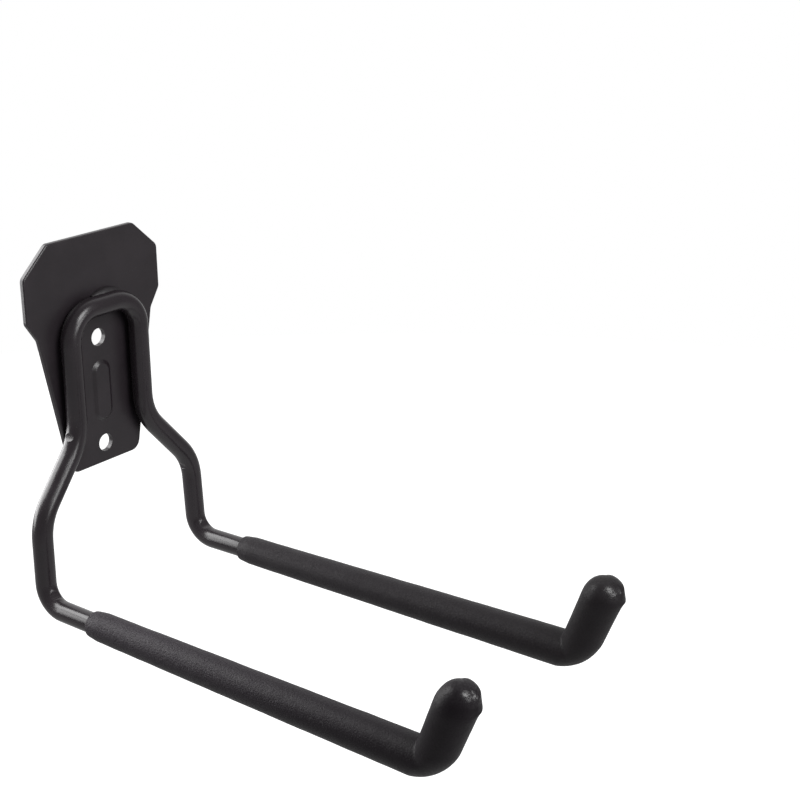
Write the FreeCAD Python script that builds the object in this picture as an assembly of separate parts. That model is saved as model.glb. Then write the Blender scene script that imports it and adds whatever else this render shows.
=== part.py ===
"""Wall-mounted double-arm utility hook.

One bent round steel rod is welded to a stamped steel wall plate.  Each of its two arms wears a
foam sleeve that runs from behind the elbow, round the upturned tip, to a closed, bevelled end.

Frame: millimetres, +Z up, +Y into the wall, +X to the right as the hook is faced.  The wall is the
plane Y = 0 and the origin lies on it midway between the two screw holes.
"""

import FreeCAD, Part
import math
import os

from FreeCAD import Vector

# Wall plate
plate_thickness = 2.0
plate_top_z = 62.75
plate_bottom_z = -29.75
head_half_width = 34.25
head_top_half_width = 22.0
head_corner_z = 51.75
head_side_bottom_z = 34.5
tongue_top_half_width = 29.25
tongue_top_z = 27.0
tongue_bottom_half_width = 17.75
head_corner_radius = 3.0
tongue_shoulder_radius = 3.0
tongue_foot_radius = 4.5
plate_front_edge_radius = 0.7

# Screw holes
screw_hole_spacing = 43.5
screw_hole_diameter = 7.0

# Stiffening rib pressed out of the plate between the screw holes
rib_length = 25.0
rib_width = 9.5
rib_height = 1.0
rib_flank_run = 1.5
rib_crest_radius = 0.5
rib_foot_radius = 0.9

# Rod
rod_diameter = 8.0
rod_end_chamfer = 0.8
yoke_half_width = 17.5
yoke_bar_z = 35.5
yoke_bend_radius = 12.0
leg_bend_z = -13.75
leg_bend_radius = 22.0
shoulder_half_width = 40.5
shoulder_z = -40.0
shoulder_lean = 1.75
shoulder_bend_radius = 22.0
elbow_half_width = 41.5
elbow_z = -74.5
elbow_lean = 2.5
elbow_bend_radius = 9.5
arm_reach = 192.5
arm_end_half_width = 44.75
tip_bend_radius = 15.0
tip_rise_angle = 68.5

# Marks that the bending punch leaves on the inside of the rod's bends below the yoke
punch_radius = 2.5
leg_mark_depth = 0.5
elbow_mark_depth = 0.7

# Foam sleeves
sleeve_start = 26.5
sleeve_mouth_radius = 4.9
sleeve_mouth_length = 5.0
sleeve_mouth_round = 0.6
sleeve_root_radius = 5.4
sleeve_bend_radius = 7.1
sleeve_rim_radius = 7.6
sleeve_bore_clearance = 0.05
tip_length = 29.0
cap_lip = 0.15
cap_lip_length = 1.2
cap_height = 5.4
cap_crown_radius = 5.2
cap_crown_round = 2.6
cap_rim_round = 2.0
cap_wall = 3.2
rod_end_gap = 0.3
bend_cover = 0.05
bore_overrun = 1.0

# Weld bead in the notch between the yoke bar's top and the plate
weld_radius = 2.4
weld_end_radius = 0.6
weld_length = 14.0
weld_middle_x = 4.5
weld_rise = 2.9
weld_stand_off = 0.5

# Greatest distance at which an edge still counts as lying on a face
match_tolerance = 1e-6

rod_radius = rod_diameter / 2
rod_axis_y = -(plate_thickness + rod_radius)
sleeve_bore_radius = rod_radius + sleeve_bore_clearance
tip_rise = math.radians(tip_rise_angle)
rod_tip_length = tip_length + cap_height - cap_wall
mitre_overrun = 2 * sleeve_rim_radius


def rounded_outline(points, radii):
    """Closed wire through the points (x, z) on the wall plane, each corner rounded by its radius."""
    count = len(points)
    starts = []
    ends = []
    middles = []
    for index in range(count):
        corner = Vector(points[index][0], 0, points[index][1])
        before = Vector(points[index - 1][0], 0, points[index - 1][1])
        after = Vector(points[(index + 1) % count][0], 0, points[(index + 1) % count][1])
        start, middle, end = corner_arc(before, corner, after, radii[index])
        starts.append(start)
        middles.append(middle)
        ends.append(end)
    edges = []
    for index in range(count):
        edges.append(Part.Arc(starts[index], middles[index], ends[index]).toShape())
        edges.append(Part.makeLine(ends[index], starts[(index + 1) % count]))
    return Part.Wire(edges)


def corner_arc(before, corner, after, radius):
    """Start, middle and end of the arc that rounds the corner between two straight lines."""
    inward = (before - corner).normalize()
    outward = (after - corner).normalize()
    half_angle = inward.getAngle(outward) / 2
    tangent = radius / math.tan(half_angle)
    bisector = (inward + outward).normalize()
    centre = corner + bisector * (radius / math.sin(half_angle))
    return corner + inward * tangent, centre - bisector * radius, corner + outward * tangent


def plate_outline():
    """Outline of the plate: wide chamfered head, stepped in to a tapering tongue."""
    right_half = [
        (head_top_half_width, plate_top_z, head_corner_radius),
        (head_half_width, head_corner_z, head_corner_radius),
        (head_half_width, head_side_bottom_z, head_corner_radius),
        (tongue_top_half_width, tongue_top_z, tongue_shoulder_radius),
        (tongue_bottom_half_width, plate_bottom_z, tongue_foot_radius),
    ]
    left_half = [(-x, z, radius) for x, z, radius in reversed(right_half)]
    corners = right_half + left_half
    return rounded_outline([(x, z) for x, z, _ in corners], [radius for _, _, radius in corners])


def stadium(length, width, y):
    """Upright closed stadium wire around the plate's centre line at the given depth."""
    half_width = width / 2
    straight = length / 2 - half_width
    right_low = Vector(half_width, y, -straight)
    right_high = Vector(half_width, y, straight)
    left_high = Vector(-half_width, y, straight)
    left_low = Vector(-half_width, y, -straight)
    crown = Part.Arc(right_high, Vector(0, y, length / 2), left_high).toShape()
    foot = Part.Arc(left_low, Vector(0, y, -length / 2), right_low).toShape()
    return Part.Wire([Part.makeLine(right_low, right_high), crown, Part.makeLine(left_high, left_low), foot])


def rib_body(front_y):
    """Solid of the pressed rib standing out by its height from the plane at front_y."""
    foot = stadium(rib_length, rib_width, front_y)
    top = stadium(rib_length - 2 * rib_flank_run, rib_width - 2 * rib_flank_run, front_y - rib_height)
    return Part.makeLoft([foot, top], True, True)


def edges_at_depth(solid, y):
    """Edges of the solid that lie in the plane at depth y."""
    found = []
    for edge in solid.Edges:
        box = edge.BoundBox
        if abs(box.YMin - y) < match_tolerance and abs(box.YMax - y) < match_tolerance:
            found.append(edge)
    return found


def wall_plate():
    """Stamped plate with rounded front edge, two screw holes and a pressed stiffening rib."""
    face = Part.Face(plate_outline())
    plate = face.extrude(Vector(0, -plate_thickness, 0))
    plate = plate.makeFillet(plate_front_edge_radius, edges_at_depth(plate, -plate_thickness))
    raised = rib_body(-plate_thickness)
    crest_y = -(plate_thickness + rib_height)
    raised = raised.makeFillet(rib_crest_radius, edges_at_depth(raised, crest_y))
    plate = plate.fuse(raised)
    foot_edges = []
    for edge in edges_at_depth(plate, -plate_thickness):
        middle = edge.CenterOfMass
        if abs(middle.x) < rib_width and abs(middle.z) < rib_length:
            foot_edges.append(edge)
    plate = plate.makeFillet(rib_foot_radius, foot_edges).cut(rib_body(0))
    for side in (1, -1):
        centre = Vector(0, 0, side * screw_hole_spacing / 2)
        hole = Part.makeCylinder(screw_hole_diameter / 2, plate_thickness, centre, Vector(0, -1, 0))
        plate = plate.cut(hole)
    return plate.removeSplitter()


def elbow_point(side):
    """Corner of the rod's centre line where the lower leg turns forward into the arm."""
    return Vector(side * elbow_half_width, rod_axis_y - elbow_lean, elbow_z)


def arm_end_point(side):
    """Corner of the rod's centre line where the arm turns up into the tip."""
    return Vector(side * arm_end_half_width, -arm_reach, elbow_z)


def arm_direction(side):
    """Unit vector along the arm, away from the wall."""
    return (arm_end_point(side) - elbow_point(side)).normalize()


def tip_direction():
    """Unit vector along the upturned tip."""
    return Vector(0, -math.cos(tip_rise), math.sin(tip_rise))


def rod_corners(side):
    """Corners of one half of the rod's centre line, from the yoke bar's middle to the tip."""
    return [
        Vector(0, rod_axis_y, yoke_bar_z),
        Vector(side * yoke_half_width, rod_axis_y, yoke_bar_z),
        Vector(side * yoke_half_width, rod_axis_y, leg_bend_z),
        Vector(side * shoulder_half_width, rod_axis_y - shoulder_lean, shoulder_z),
        elbow_point(side),
        arm_end_point(side),
        arm_end_point(side) + tip_direction() * rod_tip_length,
    ]


def rounded_path(corners, radii):
    """Wire of straight lines through the corners, the inner ones rounded by their radii."""
    edges = []
    start = corners[0]
    for index, radius in enumerate(radii):
        first, middle, last = corner_arc(corners[index], corners[index + 1], corners[index + 2], radius)
        edges.append(Part.makeLine(start, first))
        edges.append(Part.Arc(first, middle, last).toShape())
        start = last
    edges.append(Part.makeLine(start, corners[-1]))
    return Part.Wire(edges)


def round_sweep(path, radius, start, direction):
    """Solid of a circle of the given radius carried along the path."""
    section = Part.Wire(Part.makeCircle(radius, start, direction))
    return path.makePipeShell([section], True, False)


def punch_mark(before, corner, after, bend_radius, depth):
    """Bar of the punch, biting by the given depth into the inside of one bend of the rod."""
    inward = (before - corner).normalize()
    outward = (after - corner).normalize()
    bisector = (inward + outward).normalize()
    across = inward.cross(outward).normalize()
    middle = corner_arc(before, corner, after, bend_radius)[1]
    centre = middle + bisector * (rod_radius - depth + punch_radius)
    return Part.makeCylinder(punch_radius, 2 * rod_diameter, centre - across * rod_diameter, across)


def hook_rod():
    """Rod bent in one piece: yoke on the plate, legs jogged outward, two arms with raised tips."""
    radii = [yoke_bend_radius, leg_bend_radius, shoulder_bend_radius, elbow_bend_radius, tip_bend_radius]
    marked_bends = {2: leg_mark_depth, 3: leg_mark_depth, 4: elbow_mark_depth}
    halves = []
    for side in (1, -1):
        corners = rod_corners(side)
        half = round_sweep(rounded_path(corners, radii), rod_radius, corners[0], Vector(side, 0, 0))
        half = half.cut(end_trim(corners[-1]))
        for bend, depth in marked_bends.items():
            before, corner, after = corners[bend - 1 : bend + 2]
            half = half.cut(punch_mark(before, corner, after, radii[bend - 1], depth))
        halves.append(half)
    return halves[0].fuse(halves[1]).removeSplitter()


def end_trim(end):
    """Ring that takes the rod's chamfer off around its end."""
    start = end - tip_direction() * rod_end_chamfer
    sheath = Part.makeCylinder(rod_diameter, rod_end_chamfer, start, tip_direction())
    taper = Part.makeCone(rod_radius, rod_radius - rod_end_chamfer, rod_end_chamfer, start, tip_direction())
    return sheath.cut(taper)


def turned(profile, origin, axis):
    """Solid of revolution: profile points (radius, distance) about the axis from the origin."""
    frame = FreeCAD.Placement(origin, FreeCAD.Rotation(Vector(0, 0, 1), axis))
    points = [Vector(radius, 0, distance) for radius, distance in profile]
    wire = Part.makePolygon(points + [points[0]])
    solid = Part.Face(wire).revolve(Vector(0, 0, 0), Vector(0, 0, 1), 360)
    solid.Placement = frame
    return solid


def rounded_rim(solid, rim_radius, rounding):
    """The solid with its circular edges of the given radius rounded off."""
    rims = [
        edge
        for edge in solid.Edges
        if isinstance(edge.Curve, Part.Circle) and abs(edge.Curve.Radius - rim_radius) < match_tolerance
    ]
    return solid.makeFillet(rounding, rims)


def sleeve_arm(side):
    """Outer body of the sleeve along the arm, carried on past the tip bend."""
    elbow = elbow_point(side)
    length = (arm_end_point(side) - elbow).Length
    growth = (sleeve_bend_radius - sleeve_root_radius) / length
    mouth_end = sleeve_start + sleeve_mouth_length
    arm_end = length + mitre_overrun
    profile = [
        (0, sleeve_start),
        (sleeve_mouth_radius, sleeve_start),
        (sleeve_root_radius + growth * mouth_end, mouth_end),
        (sleeve_root_radius + growth * arm_end, arm_end),
        (0, arm_end),
    ]
    body = turned(profile, elbow, arm_direction(side))
    return rounded_rim(body, sleeve_mouth_radius, sleeve_mouth_round)


def tip_radius(distance):
    """Outer radius of the sleeve on the tip at a distance from the arm's end."""
    return sleeve_bend_radius + (sleeve_rim_radius - sleeve_bend_radius) * distance / tip_length


def sleeve_tip(side):
    """Outer body of the sleeve along the tip with its closed, bevelled end."""
    lip_start = tip_length - cap_lip_length
    profile = [
        (0, -mitre_overrun),
        (tip_radius(-mitre_overrun), -mitre_overrun),
        (tip_radius(lip_start), lip_start),
        (sleeve_rim_radius + cap_lip, tip_length),
        (cap_crown_radius, tip_length + cap_height),
        (0, tip_length + cap_height),
    ]
    body = turned(profile, arm_end_point(side), tip_direction())
    body = rounded_rim(body, sleeve_rim_radius + cap_lip, cap_rim_round)
    return rounded_rim(body, cap_crown_radius, cap_crown_round)


def beyond(origin, direction):
    """Block that fills the space on the far side of the plane through the origin."""
    reach = arm_reach + tip_length
    block = Part.makeBox(2 * reach, 2 * reach, 2 * reach, Vector(-reach, -reach, 0))
    block.Placement = FreeCAD.Placement(origin, FreeCAD.Rotation(Vector(0, 0, 1), direction))
    return block


def sleeve(side):
    """Foam sleeve on one arm: creased inside the tip bend, broadly rounded outside it."""
    corner = arm_end_point(side)
    along = arm_direction(side)
    upward = tip_direction()
    mitre = (along + upward).normalize()
    arm_body = sleeve_arm(side).cut(beyond(corner, mitre))
    tip_body = sleeve_tip(side).common(beyond(corner, mitre))
    mitred = arm_body.fuse(tip_body)

    first, middle, last = corner_arc(corner - along, corner, corner + upward, tip_bend_radius)
    bend_path = Part.Wire([Part.Arc(first, middle, last).toShape()])
    bend_radius = max(tip_radius((last - corner).Length), sleeve_bend_radius) + bend_cover
    bend = round_sweep(bend_path, bend_radius, first, along)
    straight_arm = mitred.cut(beyond(first, along))
    straight_tip = mitred.common(beyond(last, upward))
    bent_middle = mitred.common(bend)
    body = straight_arm.fuse([bent_middle, straight_tip])

    bore_start = elbow_point(side) + along * (sleeve_start - bore_overrun)
    bore_end = corner + upward * (rod_tip_length + rod_end_gap)
    bore_path = rounded_path([bore_start, corner, bore_end], [tip_bend_radius])
    bore = round_sweep(bore_path, sleeve_bore_radius, bore_start, along)
    return body.cut(bore).removeSplitter()


def yoke_weld(rod, plate):
    """Bead laid along the notch between the yoke bar's top and the plate, thin at both ends."""
    middle = Vector(weld_middle_x, -(plate_thickness + weld_stand_off), yoke_bar_z + weld_rise)
    along = Vector(1, 0, 0)
    out = Vector(0, 0, 1)
    start = middle - along * (weld_length / 2)
    end = middle + along * (weld_length / 2)
    start_rim = start + out * weld_end_radius
    end_rim = end + out * weld_end_radius
    back = Part.Arc(start_rim, middle + out * weld_radius, end_rim).toShape()
    outline = [Part.makeLine(start, start_rim), back, Part.makeLine(end_rim, end), Part.makeLine(end, start)]
    bead = Part.Face(Part.Wire(outline)).revolve(middle, along, 360)
    behind_face = beyond(Vector(0, -plate_thickness, 0), Vector(0, 1, 0))
    return bead.cut(rod).cut(plate).cut(behind_face)


def export(shape, name):
    """Write one piece under its own name."""
    shape.exportStep("parts/" + name + ".step")


os.makedirs("parts", exist_ok=True)

plate_solid = wall_plate()
rod_solid = hook_rod()

export(plate_solid, "wall_plate")
export(rod_solid, "hook_rod")
export(yoke_weld(rod_solid, plate_solid), "yoke_weld")
export(sleeve(-1), "left_sleeve")
export(sleeve(1), "right_sleeve")
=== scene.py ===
"""Studio scene of a wall-mounted double-arm utility hook.

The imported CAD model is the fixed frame: its wall plate, bent rod and weld bead stay and are given
their painted finish here, and the two foam sleeves are modelled here in place of their plain solids.
Everything is in metres, with +Z up, +Y into the wall and +X to the right as the hook is faced.
"""

import logging
import math
from collections.abc import Callable
from dataclasses import dataclass, field
from enum import Enum
from itertools import pairwise

import bpy
from bpy.types import Material, MeshVertex, Node, NodeSocket, NodeTree, Object
from mathutils import Matrix, Vector, noise

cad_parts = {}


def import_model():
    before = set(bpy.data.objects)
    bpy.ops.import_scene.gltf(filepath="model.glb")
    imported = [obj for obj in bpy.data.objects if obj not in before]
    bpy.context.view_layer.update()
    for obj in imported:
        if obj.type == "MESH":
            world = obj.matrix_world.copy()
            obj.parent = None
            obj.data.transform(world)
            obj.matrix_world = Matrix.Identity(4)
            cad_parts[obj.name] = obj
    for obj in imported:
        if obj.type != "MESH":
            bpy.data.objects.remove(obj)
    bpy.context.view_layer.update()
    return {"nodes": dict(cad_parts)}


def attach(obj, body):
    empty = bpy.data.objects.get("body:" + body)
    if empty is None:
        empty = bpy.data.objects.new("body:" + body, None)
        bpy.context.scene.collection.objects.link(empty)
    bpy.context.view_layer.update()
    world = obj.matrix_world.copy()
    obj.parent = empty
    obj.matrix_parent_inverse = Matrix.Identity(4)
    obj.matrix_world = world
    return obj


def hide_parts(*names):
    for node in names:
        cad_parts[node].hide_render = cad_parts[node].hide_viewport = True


log = logging.getLogger("utility_hook")

MM = 0.001

Span = tuple[float, float]
Colour = tuple[float, float, float]

# Raw texture and angle values between which each effect of the finishes comes in
WORN_EDGE: Span = (0.985, 0.86)
WORN_PATCH: Span = (0.36, 0.62)
SMEAR: Span = (0.35, 0.68)
SPECK_DOT: Span = (0.10, 0.04)
SPECK_FIELD: Span = (0.60, 0.66)
FOAM_PORE: Span = (0.26, 0.08)
FOAM_MOTTLE: Span = (0.32, 0.68)

# Strengths and scales of the layers in each effect, against its first layer
PEBBLE_SHARE = 0.45
SPECK_FIELD_SHARE = 0.25
COARSE_SCALE = 0.38
COARSE_HEIGHT = 0.3
PORE_SCALE = 0.7
PORE_DEPTH = 0.35

# Smallest length in metres, turn in radians and change of scale that still count
TINY = 1e-7
TINY_TURN = 1e-4
TINY_GROWTH = 1e-9


class Side(Enum):
    """The hook's two arms, as it is faced."""

    LEFT = "left"
    RIGHT = "right"


def direction(azimuth: float, elevation: float) -> Vector:
    """Unit vector from the hook towards a place in the studio.

    Args:
        azimuth: degrees, 0 in front of the hook and positive to its right.
        elevation: degrees above the horizon.

    Returns:
        The unit vector.
    """
    turn, rise = math.radians(azimuth), math.radians(elevation)
    return Vector((math.sin(turn) * math.cos(rise), -math.cos(turn) * math.cos(rise), math.sin(rise)))


def deselect_all() -> None:
    """Leave no object selected, so that the next operator acts on its own piece only."""
    for obj in bpy.context.selected_objects:
        obj.select_set(False)


def make_active(obj: Object) -> None:
    """Select one object alone and make it the active one."""
    deselect_all()
    obj.select_set(True)
    bpy.context.view_layer.objects.active = obj


class NodeSheet:
    """Small helper that places and links shader nodes in one tree."""

    def __init__(self, tree: NodeTree) -> None:
        """Start on an empty tree.

        Args:
            tree: the node tree to fill.
        """
        self.tree = tree
        self.tree.nodes.clear()
        self.coordinates: NodeSocket | None = None

    def add(self, kind: str, settings: dict | None = None, **inputs: object) -> Node:
        """Place a node.

        Args:
            kind: the node's type name.
            settings: attributes of the node itself.
            inputs: socket values or output sockets to link, by socket name with _ for a space.

        Returns:
            The new node.
        """
        node = self.tree.nodes.new(kind)
        for key, value in (settings or {}).items():
            setattr(node, key, value)
        for key, value in inputs.items():
            socket = self.socket(node, key.replace("_", " "))
            if isinstance(value, NodeSocket):
                self.tree.links.new(value, socket)
            else:
                socket.default_value = value
        return node

    def socket(self, node: Node, name: str) -> NodeSocket:
        """The node's enabled input of that name, or of that number for names such as in0."""
        if name.startswith("in") and name[2:].isdigit():
            return node.inputs[int(name[2:])]
        return next(s for s in node.inputs if s.name == name and s.enabled)

    def group(self, tree: NodeTree, **inputs: object) -> Node:
        """Place a node group at the sheet's coordinates, with its other inputs given as in add."""
        return self.add("ShaderNodeGroup", {"node_tree": tree}, Vector=self.coordinates, **inputs)

    def math(self, operation: str, *values: object, clamp: bool = False) -> NodeSocket:
        """Place a Math node.

        Args:
            operation: the Math node's operation.
            values: values or sockets, in the node's order.
            clamp: keep the result between 0 and 1.

        Returns:
            The node's output socket.
        """
        inputs = {f"in{index}": value for index, value in enumerate(values)}
        return self.add("ShaderNodeMath", {"operation": operation, "use_clamp": clamp}, **inputs).outputs[0]

    def dot(self, first: object, second: object) -> NodeSocket:
        """Dot product of two vectors, given as values or sockets."""
        node = self.add("ShaderNodeVectorMath", {"operation": "DOT_PRODUCT"}, in0=first, in1=second)
        return node.outputs["Value"]

    def ramp(self, value: NodeSocket, span: Span, to: Span = (0.0, 1.0)) -> NodeSocket:
        """Smooth step of a value from one range to another.

        Args:
            value: the input socket.
            span: the values that give the first and the last result.
            to: the first and the last result.

        Returns:
            The output socket.
        """
        node = self.add(
            "ShaderNodeMapRange", {"interpolation_type": "SMOOTHSTEP"}, Value=value,
            From_Min=span[0], From_Max=span[1], To_Min=to[0], To_Max=to[1],
        )
        return node.outputs[0]

    def mix(self, factor: object, first: object, second: object) -> NodeSocket:
        """Mix two numbers: a factor of 0 gives the first, 1 the second."""
        return self.add("ShaderNodeMix", {"data_type": "FLOAT"}, in0=factor, in2=first, in3=second).outputs[0]

    def mix_colour(self, factor: object, first: object, second: object) -> NodeSocket:
        """Mix two colours: a factor of 0 gives the first, 1 the second."""
        return self.add("ShaderNodeMix", {"data_type": "RGBA"}, in0=factor, in6=first, in7=second).outputs[2]

    def noise(self, scale: object, detail: float, roughness: float = 0.5) -> NodeSocket:
        """Place a Noise Texture at the sheet's coordinates.

        Args:
            scale: value or socket.
            detail: octaves of finer noise.
            roughness: how strong each finer octave is.

        Returns:
            The socket of its value.
        """
        settings = {"Scale": scale, "Detail": detail, "Roughness": roughness}
        return self.add("ShaderNodeTexNoise", None, Vector=self.coordinates, **settings).outputs[0]

    def scatter(self, scale: object) -> NodeSocket:
        """Distance from the sheet's coordinates to the nearest of points scattered at a scale."""
        node = self.add("ShaderNodeTexVoronoi", None, Vector=self.coordinates, Scale=scale, Randomness=1.0)
        return node.outputs["Distance"]


class MaterialSheet(NodeSheet):
    """Sheet of a new material, with its piece's own coordinates."""

    def __init__(self, name: str) -> None:
        """Start the material.

        Args:
            name: the material's name.
        """
        self.material = bpy.data.materials.new(name)
        self.material.use_nodes = True
        super().__init__(self.material.node_tree)
        self.coordinates = self.add("ShaderNodeTexCoord").outputs["Object"]

    def close(self, shader: Node) -> Material:
        """Give the material its surface shader and return it."""
        self.add("ShaderNodeOutputMaterial", None, Surface=shader.outputs[0])
        return self.material

    def close_bumped(self, height: NodeSocket, **inputs: object) -> Material:
        """Give the material a coated surface whose height shows as a bump.

        Args:
            height: the surface's height in metres.
            inputs: inputs of the surface shader, as in add.

        Returns:
            The material.
        """
        bump = self.add("ShaderNodeBump", None, Strength=1.0, Distance=1.0, Height=height)
        return self.close(self.add("ShaderNodeBsdfPrincipled", None, Normal=bump.outputs[0], **inputs))


class GroupSheet(NodeSheet):
    """Sheet of a node group that takes a place and some sizes and gives plain values."""

    def __init__(self, name: str, sizes: dict[str, float], results: tuple[str, ...]) -> None:
        """Start the group with its sockets.

        Args:
            name: the group's name.
            sizes: default in metres of each size that it takes, by socket name.
            results: socket names of what it gives.
        """
        super().__init__(bpy.data.node_groups.new(name, "ShaderNodeTree"))
        sockets = self.tree.interface
        sockets.new_socket(name="Vector", in_out="INPUT", socket_type="NodeSocketVector")
        for label, size in sizes.items():
            sockets.new_socket(name=label, in_out="INPUT", socket_type="NodeSocketFloat").default_value = size
        for label in results:
            sockets.new_socket(name=label, in_out="OUTPUT", socket_type="NodeSocketFloat")
        self.given = self.add("NodeGroupInput")
        self.result = self.add("NodeGroupOutput")
        self.coordinates = self.given.outputs["Vector"]

    def scale(self, label: str, share: float = 1.0) -> NodeSocket:
        """Texture scale of a size that the group is given, or a share of that scale."""
        return self.math("DIVIDE", share, self.given.outputs[label])

    def give(self, label: str, value: NodeSocket) -> None:
        """Link a value to one of the group's results."""
        self.tree.links.new(value, self.result.inputs[label])


def orange_peel_group() -> NodeTree:
    """Group for flowed powder coat: fine pebble and a slow waviness.

    Returns:
        A group with inputs Vector, Pebble Size and Wave Size and output Height, about 0 to 1.
    """
    sheet = GroupSheet("orange_peel", {"Pebble Size": 1.0 * MM, "Wave Size": 6.0 * MM}, ("Height",))
    pebble = sheet.noise(sheet.scale("Pebble Size"), detail=2.0)
    wave = sheet.noise(sheet.scale("Wave Size"), detail=1.0, roughness=0.4)
    sheet.give("Height", sheet.math("ADD", sheet.math("MULTIPLY", pebble, PEBBLE_SHARE), wave))
    return sheet.tree


def edge_wear_group() -> NodeTree:
    """Group that finds convex and concave edges and breaks their line up.

    Returns:
        A group with inputs Vector, Width and Patch Size and output Mask.
    """
    sheet = GroupSheet("edge_wear", {"Width": 0.5 * MM, "Patch Size": 4.0 * MM}, ("Mask",))
    rounded = sheet.add("ShaderNodeBevel", {"samples": 4}, Radius=sheet.given.outputs["Width"])
    geometry = sheet.add("ShaderNodeNewGeometry")
    edge = sheet.ramp(sheet.dot(rounded.outputs[0], geometry.outputs["Normal"]), WORN_EDGE)
    patches = sheet.noise(sheet.scale("Patch Size"), detail=3.0, roughness=0.6)
    sheet.give("Mask", sheet.math("MULTIPLY", edge, sheet.ramp(patches, WORN_PATCH)))
    return sheet.tree


def handling_group() -> NodeTree:
    """Group for the faint smears and dust of handling and storage.

    Returns:
        A group with inputs Vector, Smear Size and Speck Size and outputs Smear and Speck.
    """
    sheet = GroupSheet("handling", {"Smear Size": 20.0 * MM, "Speck Size": 1.5 * MM}, ("Smear", "Speck"))
    smear = sheet.noise(sheet.scale("Smear Size"), detail=4.0, roughness=0.62)
    dots = sheet.ramp(sheet.scatter(sheet.scale("Speck Size")), SPECK_DOT)
    rare = sheet.noise(sheet.scale("Speck Size", SPECK_FIELD_SHARE), detail=0.0)
    sheet.give("Smear", sheet.ramp(smear, SMEAR))
    sheet.give("Speck", sheet.math("MULTIPLY", dots, sheet.ramp(rare, SPECK_FIELD)))
    return sheet.tree


def foam_grain_group() -> NodeTree:
    """Group for the skin of closed-cell foam: fine cells, pinholes and a soft mottle.

    Returns:
        A group with inputs Vector, Cell Size and Mottle Size and outputs Height, Cell, Pore and Mottle.
    """
    sheet = GroupSheet(
        "foam_grain", {"Cell Size": 0.6 * MM, "Mottle Size": 6.0 * MM}, ("Height", "Cell", "Pore", "Mottle")
    )
    cell_scale = sheet.scale("Cell Size")
    cells = sheet.noise(cell_scale, detail=3.0, roughness=0.62)
    coarse = sheet.noise(sheet.math("MULTIPLY", cell_scale, COARSE_SCALE), detail=2.0)
    pores = sheet.scatter(sheet.math("MULTIPLY", cell_scale, PORE_SCALE))
    pore = sheet.ramp(pores, FOAM_PORE)
    height = sheet.math("ADD", cells, sheet.math("MULTIPLY", coarse, COARSE_HEIGHT))
    height = sheet.math("SUBTRACT", height, sheet.math("MULTIPLY", pore, PORE_DEPTH))
    mottle = sheet.noise(sheet.scale("Mottle Size"), detail=4.0, roughness=0.65)
    sheet.give("Height", height)
    sheet.give("Cell", cells)
    sheet.give("Pore", pore)
    sheet.give("Mottle", sheet.ramp(mottle, FOAM_MOTTLE))
    return sheet.tree


@dataclass(frozen=True)
class Effects:
    """The shader node groups that the finishes share, each built once."""

    orange_peel: NodeTree = field(default_factory=orange_peel_group)
    edge_wear: NodeTree = field(default_factory=edge_wear_group)
    handling: NodeTree = field(default_factory=handling_group)
    foam_grain: NodeTree = field(default_factory=foam_grain_group)


@dataclass(frozen=True)
class CoatFinish:
    """Black powder coat baked on steel."""

    name: str
    colour: Colour = (0.0130, 0.0099, 0.0122)
    worn_colour: Colour = (0.045, 0.043, 0.046)
    worn_share: float = 0.5
    smear_lift: float = 1.6
    smear_share: float = 0.45
    speck_colour: Colour = (0.09, 0.088, 0.085)
    speck_share: float = 0.6
    roughness: float = 0.3
    smear_roughness: float = 0.05
    edge_roughness: float = -0.06
    ior: float = 1.5
    pebble_size: float = 0.9 * MM
    wave_size: float = 6.0 * MM
    peel_height: float = 0.006 * MM
    edge_width: float = 0.45 * MM
    ripple_pitch: float = 0.0
    ripple_height: float = 0.0
    ripple_warp: float = 0.3
    warp_scale: float = 900.0

    def material(self, effects: Effects) -> Material:
        """Make the finish's material.

        Args:
            effects: the shared node groups.

        Returns:
            The material.
        """
        sheet = MaterialSheet(self.name)
        peel = sheet.group(effects.orange_peel, Pebble_Size=self.pebble_size, Wave_Size=self.wave_size)
        mask = sheet.group(effects.edge_wear, Width=self.edge_width).outputs["Mask"]
        hands = sheet.group(effects.handling)
        smear, speck = hands.outputs["Smear"], hands.outputs["Speck"]

        worn = sheet.math("MULTIPLY", mask, self.worn_share)
        colour = sheet.mix_colour(worn, (*self.colour, 1), (*self.worn_colour, 1))
        lifted = tuple(c * self.smear_lift for c in self.colour)
        colour = sheet.mix_colour(sheet.math("MULTIPLY", smear, self.smear_share), colour, (*lifted, 1))
        dusty = sheet.math("MULTIPLY", speck, self.speck_share)
        colour = sheet.mix_colour(dusty, colour, (*self.speck_colour, 1))

        rough = sheet.math("MULTIPLY_ADD", smear, self.smear_roughness, self.roughness)
        rough = sheet.math("ADD", rough, sheet.math("MULTIPLY", mask, self.edge_roughness), clamp=True)

        height = sheet.math("MULTIPLY", peel.outputs["Height"], self.peel_height)
        if self.ripple_height:
            height = sheet.math("ADD", height, self.ripples(sheet))
        return sheet.close_bumped(height, Base_Color=colour, Roughness=rough, IOR=self.ior)

    def ripples(self, sheet: MaterialSheet) -> NodeSocket:
        """Height of the overlapping ripples that a weld bead is laid in.

        Args:
            sheet: the material's sheet.

        Returns:
            The height socket, in metres.
        """
        warp = sheet.noise(self.warp_scale, detail=1.0)
        split = sheet.add("ShaderNodeSeparateXYZ", None, Vector=sheet.coordinates)
        along = sheet.math("ADD", split.outputs["X"], split.outputs["Z"])
        along = sheet.math("ADD", along, sheet.math("MULTIPLY", warp, self.ripple_warp * self.ripple_pitch))
        wave = sheet.math("SINE", sheet.math("MULTIPLY", along, 2 * math.pi / self.ripple_pitch))
        return sheet.math("MULTIPLY", wave, self.ripple_height)


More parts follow.
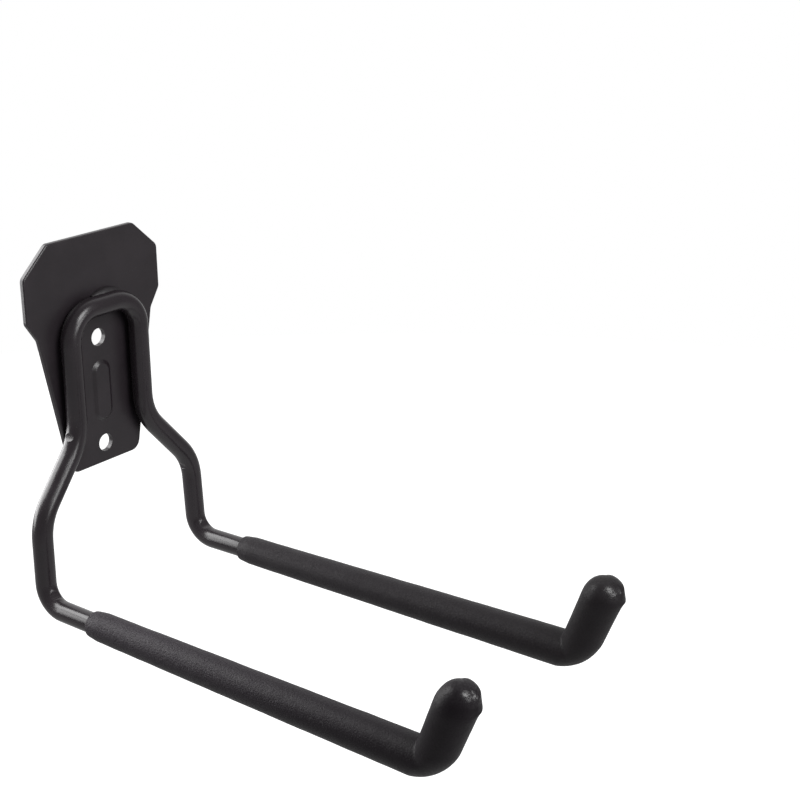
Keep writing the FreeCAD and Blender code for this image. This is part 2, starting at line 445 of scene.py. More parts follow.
@dataclass(frozen=True)
class FoamFinish:
    """Matt black closed-cell foam: deep black at the tip, lighter towards the mouth by painted light falloff,
    burnished on the cap's rim.

    Spans in metres run along Y, except band_edge, which runs away from the middle of the burnished band.
    """

    name: str
    colour: Colour = (0.0048, 0.0030, 0.0048)
    # Painted light falloff: the foam's colour grows lighter from the tip towards the mouth, in place of the
    # light that falls off towards the tip.
    painted_falloff_colour: Colour = (0.0240, 0.0200, 0.0245)
    painted_falloff_span: Span = (-205.0 * MM, -20.0 * MM)
    painted_falloff_cells: Span = (0.30, 0.70)
    # Painted shade in the pinholes: how much darker the pores are, and how strongly.
    painted_falloff_strength: Span = (0.65, 1.35)
    pore_painted_shade: float = 0.6
    pore_shade_share: float = 0.6
    roughness: float = 0.50
    rim_roughness: float = 0.30
    mottle_roughness: float = -0.05
    ior: float = 1.4
    specular: float = 0.23
    band_height: float = 3.2 * MM
    band_edge: Span = (3.0 * MM, 0.8 * MM)
    band_front: Span = (-199.5 * MM, -206.0 * MM)
    band_smears: Span = (-0.1, 0.35)
    band_grain: Span = (0.54, 0.72)
    band_strength: Span = (0.1, 1.0)
    skin_gloss: float = 0.8
    skin_roughness: float = 0.26
    cell_size: float = 0.62 * MM
    mottle_size: float = 5.0 * MM
    smear_size: float = 30.0 * MM
    grain_height: float = 0.24 * MM
    tip_grain: float = 0.45
    smooth_span: Span = (-195.0 * MM, -90.0 * MM)

    def material(self, effects: Effects, rim_middle: Vector, cap_axis: Vector) -> Material:
        """Make the finish's material.

        Args:
            effects: the shared node groups.
            rim_middle: middle of the cap's rim.
            cap_axis: unit vector out of the cap.

        Returns:
            The material.
        """
        sheet = MaterialSheet(self.name)
        grain = sheet.group(effects.foam_grain, Cell_Size=self.cell_size, Mottle_Size=self.mottle_size)
        smear = sheet.group(effects.handling, Smear_Size=self.smear_size).outputs["Smear"]
        depth = sheet.add("ShaderNodeSeparateXYZ", None, Vector=sheet.coordinates).outputs["Y"]

        level = sheet.dot(sheet.coordinates, tuple(cap_axis))
        away = sheet.math("SUBTRACT", level, rim_middle.dot(cap_axis) + self.band_height)
        band = sheet.ramp(sheet.math("ABSOLUTE", away), self.band_edge)
        band = sheet.math("MULTIPLY", band, sheet.ramp(depth, self.band_front))
        burnish = sheet.math("MULTIPLY", band, sheet.ramp(smear, self.band_smears))
        worn_grain = sheet.ramp(grain.outputs["Height"], self.band_grain, self.band_strength)
        burnish = sheet.math("MULTIPLY", burnish, worn_grain)

        rough = sheet.math("MULTIPLY_ADD", burnish, self.rim_roughness - self.roughness, self.roughness)
        mottle = sheet.math("MULTIPLY", grain.outputs["Mottle"], self.mottle_roughness)
        rough = sheet.math("ADD", rough, mottle, clamp=True)

        relief = sheet.ramp(depth, self.smooth_span, (self.tip_grain, 1.0))
        height = sheet.math("MULTIPLY", grain.outputs["Height"], relief)
        height = sheet.math("MULTIPLY", height, self.grain_height)
        return sheet.close_bumped(
            height, Base_Color=self.skin_colour(sheet, grain, depth), Roughness=rough, IOR=self.ior,
            Specular_IOR_Level=self.specular, Coat_Weight=sheet.math("MULTIPLY", burnish, self.skin_gloss),
            Coat_Roughness=self.skin_roughness,
        )

    def skin_colour(self, sheet: MaterialSheet, grain: Node, depth: NodeSocket) -> NodeSocket:
        """Colour of the foam's skin, lighter towards the mouth by painted light falloff and darker in its
        pores by painted shade.

        Args:
            sheet: the material's sheet.
            grain: the foam grain group's node.
            depth: the place's Y.

        Returns:
            The colour socket.
        """
        # Painted light falloff: lighter towards the mouth, broken up by the foam's cells.
        cells = sheet.ramp(grain.outputs["Cell"], self.painted_falloff_cells, self.painted_falloff_strength)
        painted_falloff = sheet.math("MULTIPLY", sheet.ramp(depth, self.painted_falloff_span), cells, clamp=True)
        colour = sheet.mix_colour(painted_falloff, (*self.colour, 1), (*self.painted_falloff_colour, 1))
        # Painted shade: the foam's pinholes are darkened in the colour.
        pore_shade_colour = tuple(c * self.pore_painted_shade for c in self.colour)
        pores = sheet.math("MULTIPLY", grain.outputs["Pore"], self.pore_shade_share)
        return sheet.mix_colour(pores, colour, (*pore_shade_colour, 1))


@dataclass
class SteelFrame:
    """The coated steel parts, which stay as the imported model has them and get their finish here."""

    nodes: dict[str, Object]
    finishes: dict[str, CoatFinish] = field(
        default_factory=lambda: {
            "wall_plate": CoatFinish("coat_on_sheet", roughness=0.32, peel_height=0.010 * MM),
            "hook_rod": CoatFinish(
                "coat_on_rod", roughness=0.23, peel_height=0.0028 * MM, wave_size=5.0 * MM
            ),
            # The bead's coat colour is darker than the others: painted shade, for the shadow the bead sits in
            # above the yoke bar.
            "yoke_weld": CoatFinish(
                "coat_on_bead", colour=(0.0095, 0.0072, 0.0090), roughness=0.50, peel_height=0.008 * MM,
                ripple_pitch=1.1 * MM, ripple_height=0.03 * MM,
            ),
        }
    )

    def dress(self, effects: Effects) -> None:
        """Give every steel node its coat.

        Args:
            effects: the shared node groups.
        """
        for name, finish in self.finishes.items():
            material = finish.material(effects)
            mesh = self.nodes[name].data
            if not mesh.materials:
                mesh.materials.append(None)
            for index in range(len(mesh.materials)):
                mesh.materials[index] = material
            log.info("dressed %s with %s", name, material.name)


@dataclass
class Ring:
    """The open ring of edges that is being drawn out: where it is, which way it faces, how wide."""

    centre: Vector
    ahead: Vector
    radius: float


@dataclass(frozen=True)
class CapFit:
    """How far one cap's rim and top sit below those of the pattern, negative for above."""

    rim_drop: float
    top_drop: float


def smooth_share(value: float, low: float, high: float) -> float:
    """Smooth step of a value: 0 at or below low, 1 at or above high."""
    share = min(1.0, max(0.0, (value - low) / (high - low)))
    return share * share * (3 - 2 * share)


@dataclass
class FoamSleeve:
    """One foam sleeve, drawn out of a ring along the arm, round the bend and up the tip.

    Its lengths follow the rod and the plain solid sleeve. The dome, lip and press values shape the
    cap's foam, margins keep the bore as it is, and stops, rings and steps say how fine the mesh is.
    """

    elbow_half_width: float = 41.5 * MM
    elbow_y: float = -8.5 * MM
    arm_z: float = -74.5 * MM
    arm_reach: float = 192.5 * MM
    arm_end_half_width: float = 44.75 * MM
    bend_radius: float = 15.0 * MM
    tip_rise: float = math.radians(68.5)
    start: float = 26.3 * MM
    mouth_length: float = 5.0 * MM
    mouth_radius: float = 5.1 * MM
    mouth_round: float = 0.4 * MM
    root_radius: float = 5.4 * MM
    bend_skin_radius: float = 7.1 * MM
    rim_radius: float = 7.6 * MM
    bend_cover: float = 0.05 * MM
    bore_radius: float = 4.05 * MM
    tip_length: float = 29.0 * MM
    bore_tip_length: float = 31.5 * MM
    cap_lip: float = 0.15 * MM
    cap_lip_length: float = 1.2 * MM
    cap_height: float = 5.4 * MM
    cap_crown_radius: float = 5.2 * MM
    cap_crown_round: float = 2.6 * MM
    cap_lip_stops: tuple[float, ...] = (0.0, 0.35, 0.7, 0.9, 1.0)
    cap_bevel_stops: tuple[float, ...] = (0.0, 0.08, 0.3, 0.65, 1.0)
    cap_top_rings: tuple[float, ...] = (0.72, 0.46, 0.22)
    cap_round_steps: int = 7
    dome_depth: float = 3.0 * MM
    dome_power: float = 2.35
    full_dome_power: float = 2.95
    lip_azimuth: float = 62.0
    lip_facing: Span = (0.25, 0.75)
    lip_fade: Span = (40.0, 60.0)
    lip_spread: float = 0.26 * MM
    lip_width: float = 3.0 * MM
    press_depth: float = 14.0 * MM
    flare_stops: tuple[Span, ...] = ((0.6, 0.05), (0.4, 0.35))
    segments: int = 72
    bore_tip_steps: int = 4
    bore_bend_steps: int = 10
    bore_arm_steps: int = 14
    bore_disc_inset: float = 0.45
    mouth_steps: int = 4
    mouth_step: float = 0.8 * MM
    arm_step: float = 1.6 * MM
    bend_steps: int = 22
    bend_halvings: int = 26
    bore_margin: float = 0.3 * MM
    bore_end_margin: float = 0.2 * MM
    bend_bore_margin: float = 0.4 * MM
    lump_height: float = 0.09 * MM
    lump_size: float = 9.0 * MM
    ripple_height: float = 0.035 * MM
    ripple_size: float = 2.6 * MM
    ripple_shift: tuple[float, float, float] = (5.2, 1.3, 8.1)
    calm_depth: float = 0.15 * MM
    calm_run: float = 0.8 * MM
    ring: Ring = field(init=False)

    def elbow(self) -> Vector:
        """Corner of the right rod arm's line under the plate."""
        return Vector((self.elbow_half_width, self.elbow_y, self.arm_z))

    def corner(self) -> Vector:
        """Corner where the right arm turns up into its tip."""
        return Vector((self.arm_end_half_width, -self.arm_reach, self.arm_z))

    def along(self) -> Vector:
        """Unit vector along the right arm, away from the wall."""
        return (self.corner() - self.elbow()).normalized()

    def upward(self) -> Vector:
        """Unit vector up the tip."""
        return Vector((0, -math.cos(self.tip_rise), math.sin(self.tip_rise)))

    def arm_length(self) -> float:
        """Length of the arm between its two corners."""
        return (self.corner() - self.elbow()).length

    def arm_skin(self, distance: float) -> float:
        """Skin radius on the arm at a distance from the elbow."""
        return self.root_radius + (self.bend_skin_radius - self.root_radius) * distance / self.arm_length()

    def tip_skin(self, distance: float) -> float:
        """Skin radius on the tip at a distance from the arm's end."""
        return self.bend_skin_radius + (self.rim_radius - self.bend_skin_radius) * distance / self.tip_length

    def tangent(self) -> float:
        """Distance from the corner at which the bend starts and ends."""
        half = self.along().angle(self.upward()) / 2
        return self.bend_radius * math.tan(half)

    def bend_frame(self) -> tuple[Vector, Vector, float]:
        """Centre, axis and angle of the bend.

        Returns:
            The bend's centre, the unit axis it turns about and its angle.
        """
        along, upward = self.along(), self.upward()
        angle = along.angle(upward)
        bisector = (upward - along).normalized()
        centre = self.corner() + bisector * (self.bend_radius / math.cos(angle / 2))
        return centre, along.cross(upward).normalized(), angle

    def open_ring(self, centre: Vector, ahead: Vector, radius: float) -> Object:
        """Start the mesh as a circle and stay in edit mode with it selected.

        Args:
            centre: the circle's middle.
            ahead: unit vector that the circle faces.
            radius: its radius.

        Returns:
            The object being modelled.
        """
        deselect_all()
        turn = ahead.to_track_quat("Z", "Y").to_euler()
        bpy.ops.mesh.primitive_circle_add(
            vertices=self.segments, radius=radius, location=centre, rotation=turn
        )
        bpy.ops.object.transform_apply(location=True, rotation=True, scale=True)
        piece = bpy.context.active_object
        bpy.ops.object.mode_set(mode="EDIT")
        bpy.ops.mesh.select_all(action="SELECT")
        self.ring = Ring(centre.copy(), ahead.copy(), radius)
        return piece

    def draw_out(self, distance: float, radius: float) -> None:
        """Extrude the ring straight ahead and set its new radius.

        Args:
            distance: how far it moves, negative for backwards.
            radius: the radius it ends with.
        """
        shift = self.ring.ahead * distance
        bpy.ops.mesh.extrude_region_move(TRANSFORM_OT_translate={"value": shift})
        self.ring.centre += shift
        self.resize(radius)

    def resize(self, radius: float) -> None:
        """Scale the selected ring about its own centre."""
        factor = radius / self.ring.radius
        if abs(factor - 1) > TINY_GROWTH:
            bpy.ops.transform.resize(value=(factor,) * 3, center_override=self.ring.centre)
        self.ring.radius = radius

    def draw_stretch(self, length: float, steps: int, radius_at: Callable[[float], float]) -> None:
        """Extrude the ring ahead in equal steps.

        Args:
            length: the whole stretch, negative for backwards.
            steps: number of steps.
            radius_at: function of the distance done so far that gives the radius.
        """
        for step in range(1, steps + 1):
            self.draw_out(length / steps, radius_at(length * step / steps))

    def sweep_bend(self, forwards: bool, steps: int) -> None:
        """Spin the ring round the bend.

        Args:
            forwards: from the arm to the tip, or back from the tip to the arm.
            steps: number of rings made.
        """
        centre, axis, angle = self.bend_frame()
        turn = angle if forwards else -angle
        bpy.ops.mesh.spin(steps=steps, angle=-turn, center=centre, axis=axis)
        rotation = Matrix.Rotation(turn, 3, axis)
        self.ring.centre = centre + rotation @ (self.ring.centre - centre)
        self.ring.ahead = rotation @ self.ring.ahead

    def close(self) -> None:
        """Close the selected ring to a point at its middle, by rings of even width."""
        first = self.ring.radius
        for share in self.cap_top_rings:
            self.draw_out(0.0, first * share)
        bpy.ops.mesh.edge_face_add()
        bpy.ops.mesh.poke()

    def build(self) -> Object:
        """Model the right sleeve: bore, mouth, arm, bend, tip and cap.

        Returns:
            The sleeve, at the origin with its place in its mesh.
        """
        tangent = self.tangent()
        bore_end = self.corner() + self.upward() * self.bore_tip_length
        piece = self.open_ring(bore_end, self.upward(), self.bore_radius)
        self.close_backwards(bore_end)
        self.draw_stretch(tangent - self.bore_tip_length, self.bore_tip_steps, lambda done: self.bore_radius)
        self.sweep_bend(False, self.bore_bend_steps)
        inner = self.arm_length() - tangent - self.start - self.mouth_round
        self.draw_stretch(-inner, self.bore_arm_steps, lambda done: self.bore_radius)
        self.shape_mouth()
        self.draw_arm(tangent)
        self.sweep_bend(True, self.bend_steps)
        self.resize(self.tip_skin(tangent))
        self.draw_tip(tangent)
        self.shape_cap()
        bpy.ops.mesh.select_all(action="SELECT")
        bpy.ops.mesh.normals_make_consistent(inside=False)
        bpy.ops.object.mode_set(mode="OBJECT")
        self.fit_bend(piece)
        return piece

    def close_backwards(self, bore_end: Vector) -> None:
        """Close the bore's far end with a flat disc, then take its outer ring up again.

        Args:
            bore_end: the disc's middle.
        """
        bpy.ops.mesh.edge_face_add()
        bpy.ops.mesh.inset(thickness=self.bore_disc_inset * self.bore_radius, depth=0)
        bpy.ops.mesh.poke()
        bpy.ops.mesh.select_all(action="DESELECT")
        bpy.ops.mesh.select_mode(type="EDGE")
        bpy.ops.mesh.select_non_manifold()
        self.ring = Ring(bore_end.copy(), self.upward(), self.bore_radius)

    def shape_mouth(self) -> None:
        """Turn the bore's near end outwards over a rounded lip."""
        lip = self.mouth_round
        for back, outward in self.flare_stops:
            self.draw_out(-back * lip, self.bore_radius + outward * lip)
        middle = self.mouth_radius - lip
        self.draw_out(0.0, middle)
        turn = math.pi / 2 / self.mouth_steps
        for step in range(1, self.mouth_steps + 1):
            angle = step * turn
            before = lip * (1 - math.cos(angle - turn))
            after = lip * (1 - math.cos(angle))
            self.draw_out(after - before, middle + lip * math.sin(angle))

    def draw_arm(self, tangent: float) -> None:
        """Draw the skin along the arm from the lip to the bend's start.

        Args:
            tangent: distance from the arm's corner at which the bend starts.
        """
        done = self.start + self.mouth_round
        lip_end = self.start + self.mouth_length
        while done < lip_end - TINY:
            step = min(self.mouth_step, lip_end - done)
            done += step
            share = (done - self.start) / self.mouth_length
            self.draw_out(step, self.mouth_radius + (self.arm_skin(lip_end) - self.mouth_radius) * share)
        rest = self.arm_length() - tangent - lip_end
        steps = round(rest / self.arm_step)
        self.draw_stretch(rest, steps, lambda done: self.arm_skin(lip_end + done))

    def draw_tip(self, tangent: float) -> None:
        """Draw the skin up the tip to just under the cap's rim."""
        rest = self.tip_length - self.cap_lip_length - tangent
        self.draw_stretch(rest, round(rest / self.arm_step), lambda done: self.tip_skin(tangent + done))

    def shape_cap(self) -> None:
        """Model the cap: small lip, bevel and rounded crown, closed at the middle."""
        top_radius = self.rim_radius + self.cap_lip
        start = self.tip_skin(self.tip_length - self.cap_lip_length)
        for share_from, share_to in pairwise(self.cap_lip_stops):
            rise = self.cap_lip_length * (share_to - share_from)
            self.draw_out(rise, start + (top_radius - start) * share_to)
        slope_length = math.hypot(top_radius - self.cap_crown_radius, self.cap_height)
        slope = math.atan2(self.cap_height, top_radius - self.cap_crown_radius)
        shoulder = self.cap_crown_round * math.tan(slope / 2)
        straight = slope_length - shoulder
        for share_from, share_to in pairwise(self.cap_bevel_stops):
            rise = straight * math.sin(slope) * (share_to - share_from)
            self.draw_out(rise, top_radius - straight * math.cos(slope) * share_to)
        radius, risen = self.ring.radius, 0.0
        for step in range(1, self.cap_round_steps + 1):
            angle = slope * step / self.cap_round_steps
            inward = self.cap_crown_round * (math.sin(slope) - math.sin(slope - angle))
            rise = self.cap_crown_round * (math.cos(slope - angle) - math.cos(slope))
            self.draw_out(rise - risen, radius - inward)
            risen = rise
        self.close()

    def lip_side(self) -> Vector:
        """Unit vector across the tip towards the side on which the cap's lip stays sharp."""
        level = direction(self.lip_azimuth, 0.0)
        upward = self.upward()
        return (level - upward * level.dot(upward)).normalized()

    def ease_cap(self, piece: Object, fit: CapFit) -> None:
        """Round the cap into a dome, leave its lip sharp on the right, and set its height.

        Args:
            piece: one of the two sleeves, of either side.
            fit: how far this cap's rim and top sit below the pattern's.
        """
        upward, lip_side = self.upward(), self.lip_side()
        press_from = self.tip_length - self.press_depth
        bore_reach = self.bore_radius + self.bore_margin
        bore_top = self.bore_tip_length + self.bore_end_margin
        for vertex in piece.data.vertices:
            corner = self.corner()
            corner.x = math.copysign(corner.x, vertex.co.x)
            run = (vertex.co - corner).dot(upward)
            away = vertex.co - corner - upward * run
            if away.length < bore_reach and run < bore_top:
                continue
            in_dome = run > self.tip_length - self.dome_depth
            if in_dome and (away.length > TINY or run > self.bore_tip_length):
                self.round_off(vertex, corner, lip_side)
                run = (vertex.co - corner).dot(upward)
            if run > self.tip_length:
                share = (run - self.tip_length) / self.cap_height
                vertex.co -= upward * (fit.rim_drop + (fit.top_drop - fit.rim_drop) * share)
            elif run > press_from:
                vertex.co -= upward * (fit.rim_drop * (run - press_from) / self.press_depth)
        piece.data.update()

    def round_off(self, vertex: MeshVertex, corner: Vector, lip_side: Vector) -> None:
        """Move a point of the cap onto its dome, and out a little where the lip stays sharp.

        Args:
            vertex: the point.
            corner: corner of the arm on the point's side.
            lip_side: unit vector towards the sharp side of the lip.
        """
        upward = self.upward()
        base = self.tip_length - self.dome_depth
        width, height = self.tip_skin(base), self.dome_depth + self.cap_height
        run = (vertex.co - corner).dot(upward)
        away = vertex.co - corner - upward * run
        pivot = corner + upward * base
        spoke = vertex.co - pivot
        rise = math.atan2(run - base, away.length)
        facing = away.normalized().dot(lip_side) if away.length > TINY else 0.0
        full = smooth_share(facing, *self.lip_facing)
        power = self.dome_power + (self.full_dome_power - self.dome_power) * full
        dome = ((math.cos(rise) / width) ** power + (math.sin(rise) / height) ** power) ** (-1 / power)
        sharp = full * (1 - smooth_share(math.degrees(rise), *self.lip_fade))
        vertex.co = pivot + spoke * ((dome + (spoke.length - dome) * sharp) / spoke.length)
        run = (vertex.co - corner).dot(upward)
        lip = full * max(0.0, 1 - abs(run - self.tip_length) / self.lip_width)
        if lip > 0:
            vertex.co += away.normalized() * (self.lip_spread * lip)

    def fit_bend(self, piece: Object) -> None:
        """Draw the bend's skin in to the crease inside it and the broad round outside it.

        Args:
            piece: the sleeve, with a plain bend.
        """
        centre, axis, angle = self.bend_frame()
        cover = max(self.tip_skin(self.tangent()), self.bend_skin_radius) + self.bend_cover
        first_spoke = (self.corner() - self.along() * self.tangent() - centre).normalized()
        for vertex in piece.data.vertices:
            out = vertex.co - centre
            spoke = out - axis * out.dot(axis)
            turned = first_spoke.angle(spoke)
            if first_spoke.cross(spoke).dot(axis) < 0 or not TINY_TURN < turned < angle - TINY_TURN:
                continue
            middle = centre + spoke.normalized() * self.bend_radius
            reach = vertex.co - middle
            if self.bore_radius + self.bend_bore_margin <= reach.length <= 2 * self.rim_radius:
                outward = reach.normalized()
                vertex.co = middle + outward * self.bend_skin(middle, outward, cover)

    def bend_skin(self, middle: Vector, outward: Vector, cover: float) -> float:
        """Distance from the bend's line to the skin that the mitred arm and tip would have.

        Args:
            middle: a point of the bend's line.
            outward: unit vector away from it.
            cover: the greatest distance that the skin may have.

        Returns:
            The distance.
        """
        corner, along, upward = self.corner(), self.along(), self.upward()
        mitre = (along + upward).normalized()
        low, high = self.bore_radius, cover
        for _ in range(self.bend_halvings):
            trial = (low + high) / 2
            spot = middle + outward * trial
            past_mitre = (spot - corner).dot(mitre) > 0
            line = upward if past_mitre else along
            run = (spot - corner).dot(line)
            skin = self.tip_skin(run) if past_mitre else self.arm_skin(self.arm_length() + run)
            if ((spot - corner) - line * run).length > skin:
                high = trial
            else:
                low = trial
        return low

    def roughen(self, piece: Object) -> None:
        """Give the skin the slight lumps and ripples that drawn foam has.

        Args:
            piece: the finished sleeve.
        """
        mesh = piece.data
        normals = [vertex.normal.copy() for vertex in mesh.vertices]
        for vertex, normal in zip(mesh.vertices, normals):
            spot = vertex.co
            lump = noise.noise(spot / self.lump_size) * self.lump_height
            ripple = noise.noise(spot / self.ripple_size + Vector(self.ripple_shift)) * self.ripple_height
            depth = self.distance_from_line(spot) - self.bore_radius
            share = min(1.0, max(0.0, (depth - self.calm_depth) / self.calm_run))
            vertex.co = spot + normal * (lump + ripple - 0.5 * self.lump_height) * share
        mesh.update()

    def distance_from_line(self, spot: Vector) -> float:
        """Distance of a point from the rod's line inside the sleeve.

        Args:
            spot: a point of either sleeve.

        Returns:
            The distance.
        """
        point = Vector((abs(spot.x), spot.y, spot.z))
        centre, axis, _ = self.bend_frame()
        along, upward = self.along(), self.upward()
        reach = point - self.corner()
        run_arm, run_tip = reach.dot(along), reach.dot(upward)
        if run_arm + self.tangent() <= 0:
            return (reach - along * run_arm).length
        if run_tip - self.tangent() >= 0:
            past = max(0.0, run_tip - self.bore_tip_length)
            return math.hypot((reach - upward * run_tip).length, past)
        out = point - centre
        spoke = out - axis * out.dot(axis)
        return (point - (centre + spoke.normalized() * self.bend_radius)).length


@dataclass
class SleevePair:
    """The two foam sleeves: one is modelled, the other is its mirror image with its own skin."""

    pattern: FoamSleeve = field(default_factory=FoamSleeve)
    finishes: dict[Side, FoamFinish] = field(
        default_factory=lambda: {
            Side.LEFT: FoamFinish("left_sleeve_foam"),
            # The right sleeve's lighter tip and flatter change towards the mouth are painted light, for the
            # different light on the right arm.
            Side.RIGHT: FoamFinish(
                "right_sleeve_foam", colour=(0.0092, 0.0074, 0.0088), painted_falloff_colour=(0.0215, 0.0185, 0.0212)
            ),
        }
    )
    cap_fits: dict[Side, CapFit] = field(
        default_factory=lambda: {
            Side.LEFT: CapFit(2.05 * MM, 0.25 * MM),
            Side.RIGHT: CapFit(0.4 * MM, -0.15 * MM),
        }
    )

    def mirrored(self, piece: Object) -> Object:
        """Copy a sleeve to the other side.

        Args:
            piece: the right sleeve.

        Returns:
            The left one.
        """
        make_active(piece)
        bpy.ops.object.duplicate(linked=False)
        twin = bpy.context.active_object
        bpy.ops.object.mode_set(mode="EDIT")
        bpy.ops.mesh.select_all(action="SELECT")
        bpy.ops.transform.mirror(constraint_axis=(True, False, False), center_override=(0, 0, 0))
        bpy.ops.mesh.normals_make_consistent(inside=False)
        bpy.ops.object.mode_set(mode="OBJECT")
        return twin

    def build(self, effects: Effects) -> None:
        """Model, finish and place both sleeves.

        Args:
            effects: the shared node groups.
        """
        right = self.pattern.build()
        left = self.mirrored(right)
        sleeves = {Side.RIGHT: right, Side.LEFT: left}
        upward = self.pattern.upward()
        rim_middle = self.pattern.corner() + upward * self.pattern.tip_length
        for side, piece in sleeves.items():
            name = side.name.lower() + "_foam_sleeve"
            piece.name = name
            piece.data.name = name
            self.pattern.ease_cap(piece, self.cap_fits[side])
            self.pattern.roughen(piece)
            piece.data.materials.clear()
            piece.data.materials.append(self.finishes[side].material(effects, rim_middle, upward))
            make_active(piece)
            bpy.ops.object.shade_smooth()
            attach(piece, "root")
            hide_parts(side.name.lower() + "_sleeve")
            log.info("built %s: %d faces", name, len(piece.data.polygons))


@dataclass(frozen=True)
class SoftLamp:
    """One softbox, by its place as seen from the hook."""

    name: str
    azimuth: float
    elevation: float
    distance: float
    width: float
    height: float
    radiance: float
    aim: tuple[float, float, float] = (0.0, -0.09, -0.03)

    def place(self) -> None:
        """Hang the lamp and aim it."""
        data = bpy.data.lights.new(self.name, "AREA")
        data.shape = "RECTANGLE"
        data.size, data.size_y = self.width, self.height
        data.energy = self.radiance * math.pi * self.width * self.height
        lamp = bpy.data.objects.new(self.name, data)
        bpy.context.scene.collection.objects.link(lamp)
        outward = direction(self.azimuth, self.elevation)
        lamp.location = Vector(self.aim) + outward * self.distance
        lamp.rotation_euler = outward.to_track_quat("Z", "Y").to_euler()
        lamp.visible_camera = False


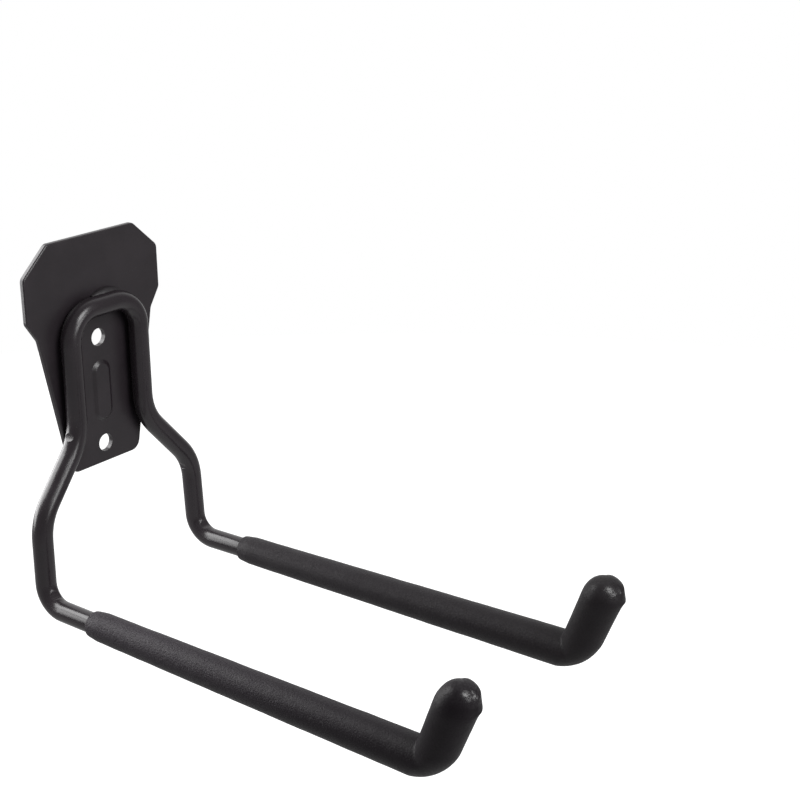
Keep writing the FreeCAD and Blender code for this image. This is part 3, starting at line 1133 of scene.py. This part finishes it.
@dataclass
class Studio:
    """White studio: pale floor, fill from above, pale backdrop behind the hook's right, four softboxes.

    The spans named heights and facing are of a ray's direction, from -1 to 1.
    """

    floor_place: tuple[float, float, float] = (0.0, -0.1, -0.45)
    floor_radius: float = 1.6
    floor_sides: int = 96
    floor_white: float = 0.93
    floor_gloss: float = 0.12
    floor_colour: Colour = (0.36, 0.36, 0.36)
    floor_shade: float = 0.97
    floor_mottle_scale: float = 3.0
    fill_levels: Span = (0.22, 0.60)
    fill_heights: Span = (-0.3, 0.6)
    gloss_level: float = 0.25
    gloss_low: float = 0.14
    gloss_low_heights: Span = (0.0, -0.35)
    backdrop_azimuth: float = 145.0
    backdrop_elevation: float = 32.0
    backdrop_level: float = 0.75
    backdrop_facing: Span = (0.35, 0.85)
    lamps: tuple[SoftLamp, ...] = (
        SoftLamp("front_softbox", 0.0, 42.0, 0.75, 0.36, 0.36, 9.2),
        SoftLamp("low_softbox", 5.0, 14.0, 0.90, 0.50, 0.22, 6.2),
        SoftLamp("back_softbox", -152.0, 42.0, 0.32, 0.27, 0.20, 6.6, (0.0, -0.02, -0.02)),
        SoftLamp("rim_softbox", -162.0, 12.0, 0.34, 0.36, 0.18, 6.0, (-0.02, -0.03, -0.05)),
    )

    def build(self) -> None:
        """Lay the floor, set the world and hang the lamps."""
        self.lay_floor()
        self.set_world()
        for lamp in self.lamps:
            lamp.place()
            log.info("hung %s", lamp.name)

    def lay_floor(self) -> None:
        """Lay a round pale floor that the camera sees as the white ground, with its shadows."""
        deselect_all()
        bpy.ops.mesh.primitive_circle_add(
            vertices=self.floor_sides, radius=self.floor_radius, fill_type="NGON", location=self.floor_place
        )
        floor = bpy.context.active_object
        floor.name = "floor"
        sheet = MaterialSheet("pale_floor")
        mottle = sheet.noise(self.floor_mottle_scale, detail=2.0)
        darker = tuple(c * self.floor_shade for c in self.floor_colour)
        colour = sheet.mix_colour(mottle, (*darker, 1), (*self.floor_colour, 1))
        matt = sheet.add("ShaderNodeBsdfDiffuse", None, Color=colour)
        path = sheet.add("ShaderNodeLightPath")
        seen = sheet.math("MULTIPLY", path.outputs["Is Camera Ray"], self.floor_white)
        mirrored = sheet.math("MULTIPLY", path.outputs["Is Glossy Ray"], self.floor_gloss)
        strength = sheet.math("MAXIMUM", seen, mirrored)
        strength = sheet.math("MAXIMUM", strength, path.outputs["Is Transmission Ray"])
        white = sheet.add("ShaderNodeEmission", None, Color=(1, 1, 1, 1), Strength=strength)
        both = sheet.add("ShaderNodeAddShader", None, in0=matt.outputs[0], in1=white.outputs[0])
        floor.data.materials.append(sheet.close(both))

    def set_world(self) -> None:
        """Light the scene from all round, in a different way for each kind of ray.

        The camera, and what passes through clear matter, sees white. Matt surfaces get a soft fill
        from above, and gloss sees the studio round the hook.
        """
        world = bpy.data.worlds.new("studio")
        bpy.context.scene.world = world
        world.use_nodes = True
        sheet = NodeSheet(world.node_tree)
        ray = sheet.add("ShaderNodeTexCoord").outputs["Generated"]
        path = sheet.add("ShaderNodeLightPath").outputs
        height = sheet.add("ShaderNodeSeparateXYZ", None, Vector=ray).outputs["Z"]
        below = sheet.ramp(height, self.gloss_low_heights, (0.0, self.gloss_low))
        facing = sheet.dot(ray, tuple(direction(self.backdrop_azimuth, self.backdrop_elevation)))
        backdrop = sheet.ramp(facing, self.backdrop_facing, (0.0, self.backdrop_level))
        surround = sheet.math("ADD", sheet.math("ADD", below, backdrop), self.gloss_level, clamp=True)
        fill = sheet.math("ADD", sheet.ramp(height, self.fill_heights, self.fill_levels), backdrop)
        seen_white = sheet.math("MAXIMUM", path["Is Camera Ray"], path["Is Transmission Ray"])
        strength = sheet.mix(seen_white, sheet.mix(path["Is Glossy Ray"], fill, surround), 1.0)
        background = sheet.add("ShaderNodeBackground", None, Color=(1, 1, 1, 1), Strength=strength)
        sheet.add("ShaderNodeOutputWorld", None, Surface=background.outputs[0])


@dataclass(frozen=True)
class PhotoCamera:
    """Camera at the photograph's place, turn and field of view."""

    location: tuple[float, float, float] = (-0.40557, -0.44988, 0.2035)
    azimuth: float = -53.278
    elevation: float = 19.379
    roll: float = -0.439
    focal_pixels: float = 1602.124
    image_pixels: int = 800
    sensor: float = 36.0
    clip: Span = (0.01, 20.0)

    def place(self) -> None:
        """Put the camera in the scene and make it the active one."""
        data = bpy.data.cameras.new("photo_camera")
        data.sensor_fit = "HORIZONTAL"
        data.sensor_width = self.sensor
        data.lens = self.focal_pixels / self.image_pixels * self.sensor
        data.clip_start, data.clip_end = self.clip
        camera = bpy.data.objects.new("photo_camera", data)
        bpy.context.scene.collection.objects.link(camera)
        back = direction(self.azimuth, self.elevation)
        heading = math.radians(self.azimuth)
        level = Vector((math.cos(heading), math.sin(heading), 0))
        above = back.cross(level)
        roll = math.radians(self.roll)
        right = level * math.cos(roll) + above * math.sin(roll)
        up = above * math.cos(roll) - level * math.sin(roll)
        turn = Matrix((right, up, back)).transposed().to_4x4()
        camera.matrix_world = Matrix.Translation(Vector(self.location)) @ turn
        bpy.context.scene.camera = camera


def main() -> None:
    """Load the frame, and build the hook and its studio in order."""
    logging.basicConfig(level=logging.INFO, format="%(message)s")
    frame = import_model()
    bpy.context.scene.view_settings.view_transform = "Standard"
    PhotoCamera().place()
    effects = Effects()
    SteelFrame(frame["nodes"]).dress(effects)
    SleevePair().build(effects)
    Studio().build()


if __name__ == "__main__":
    main()
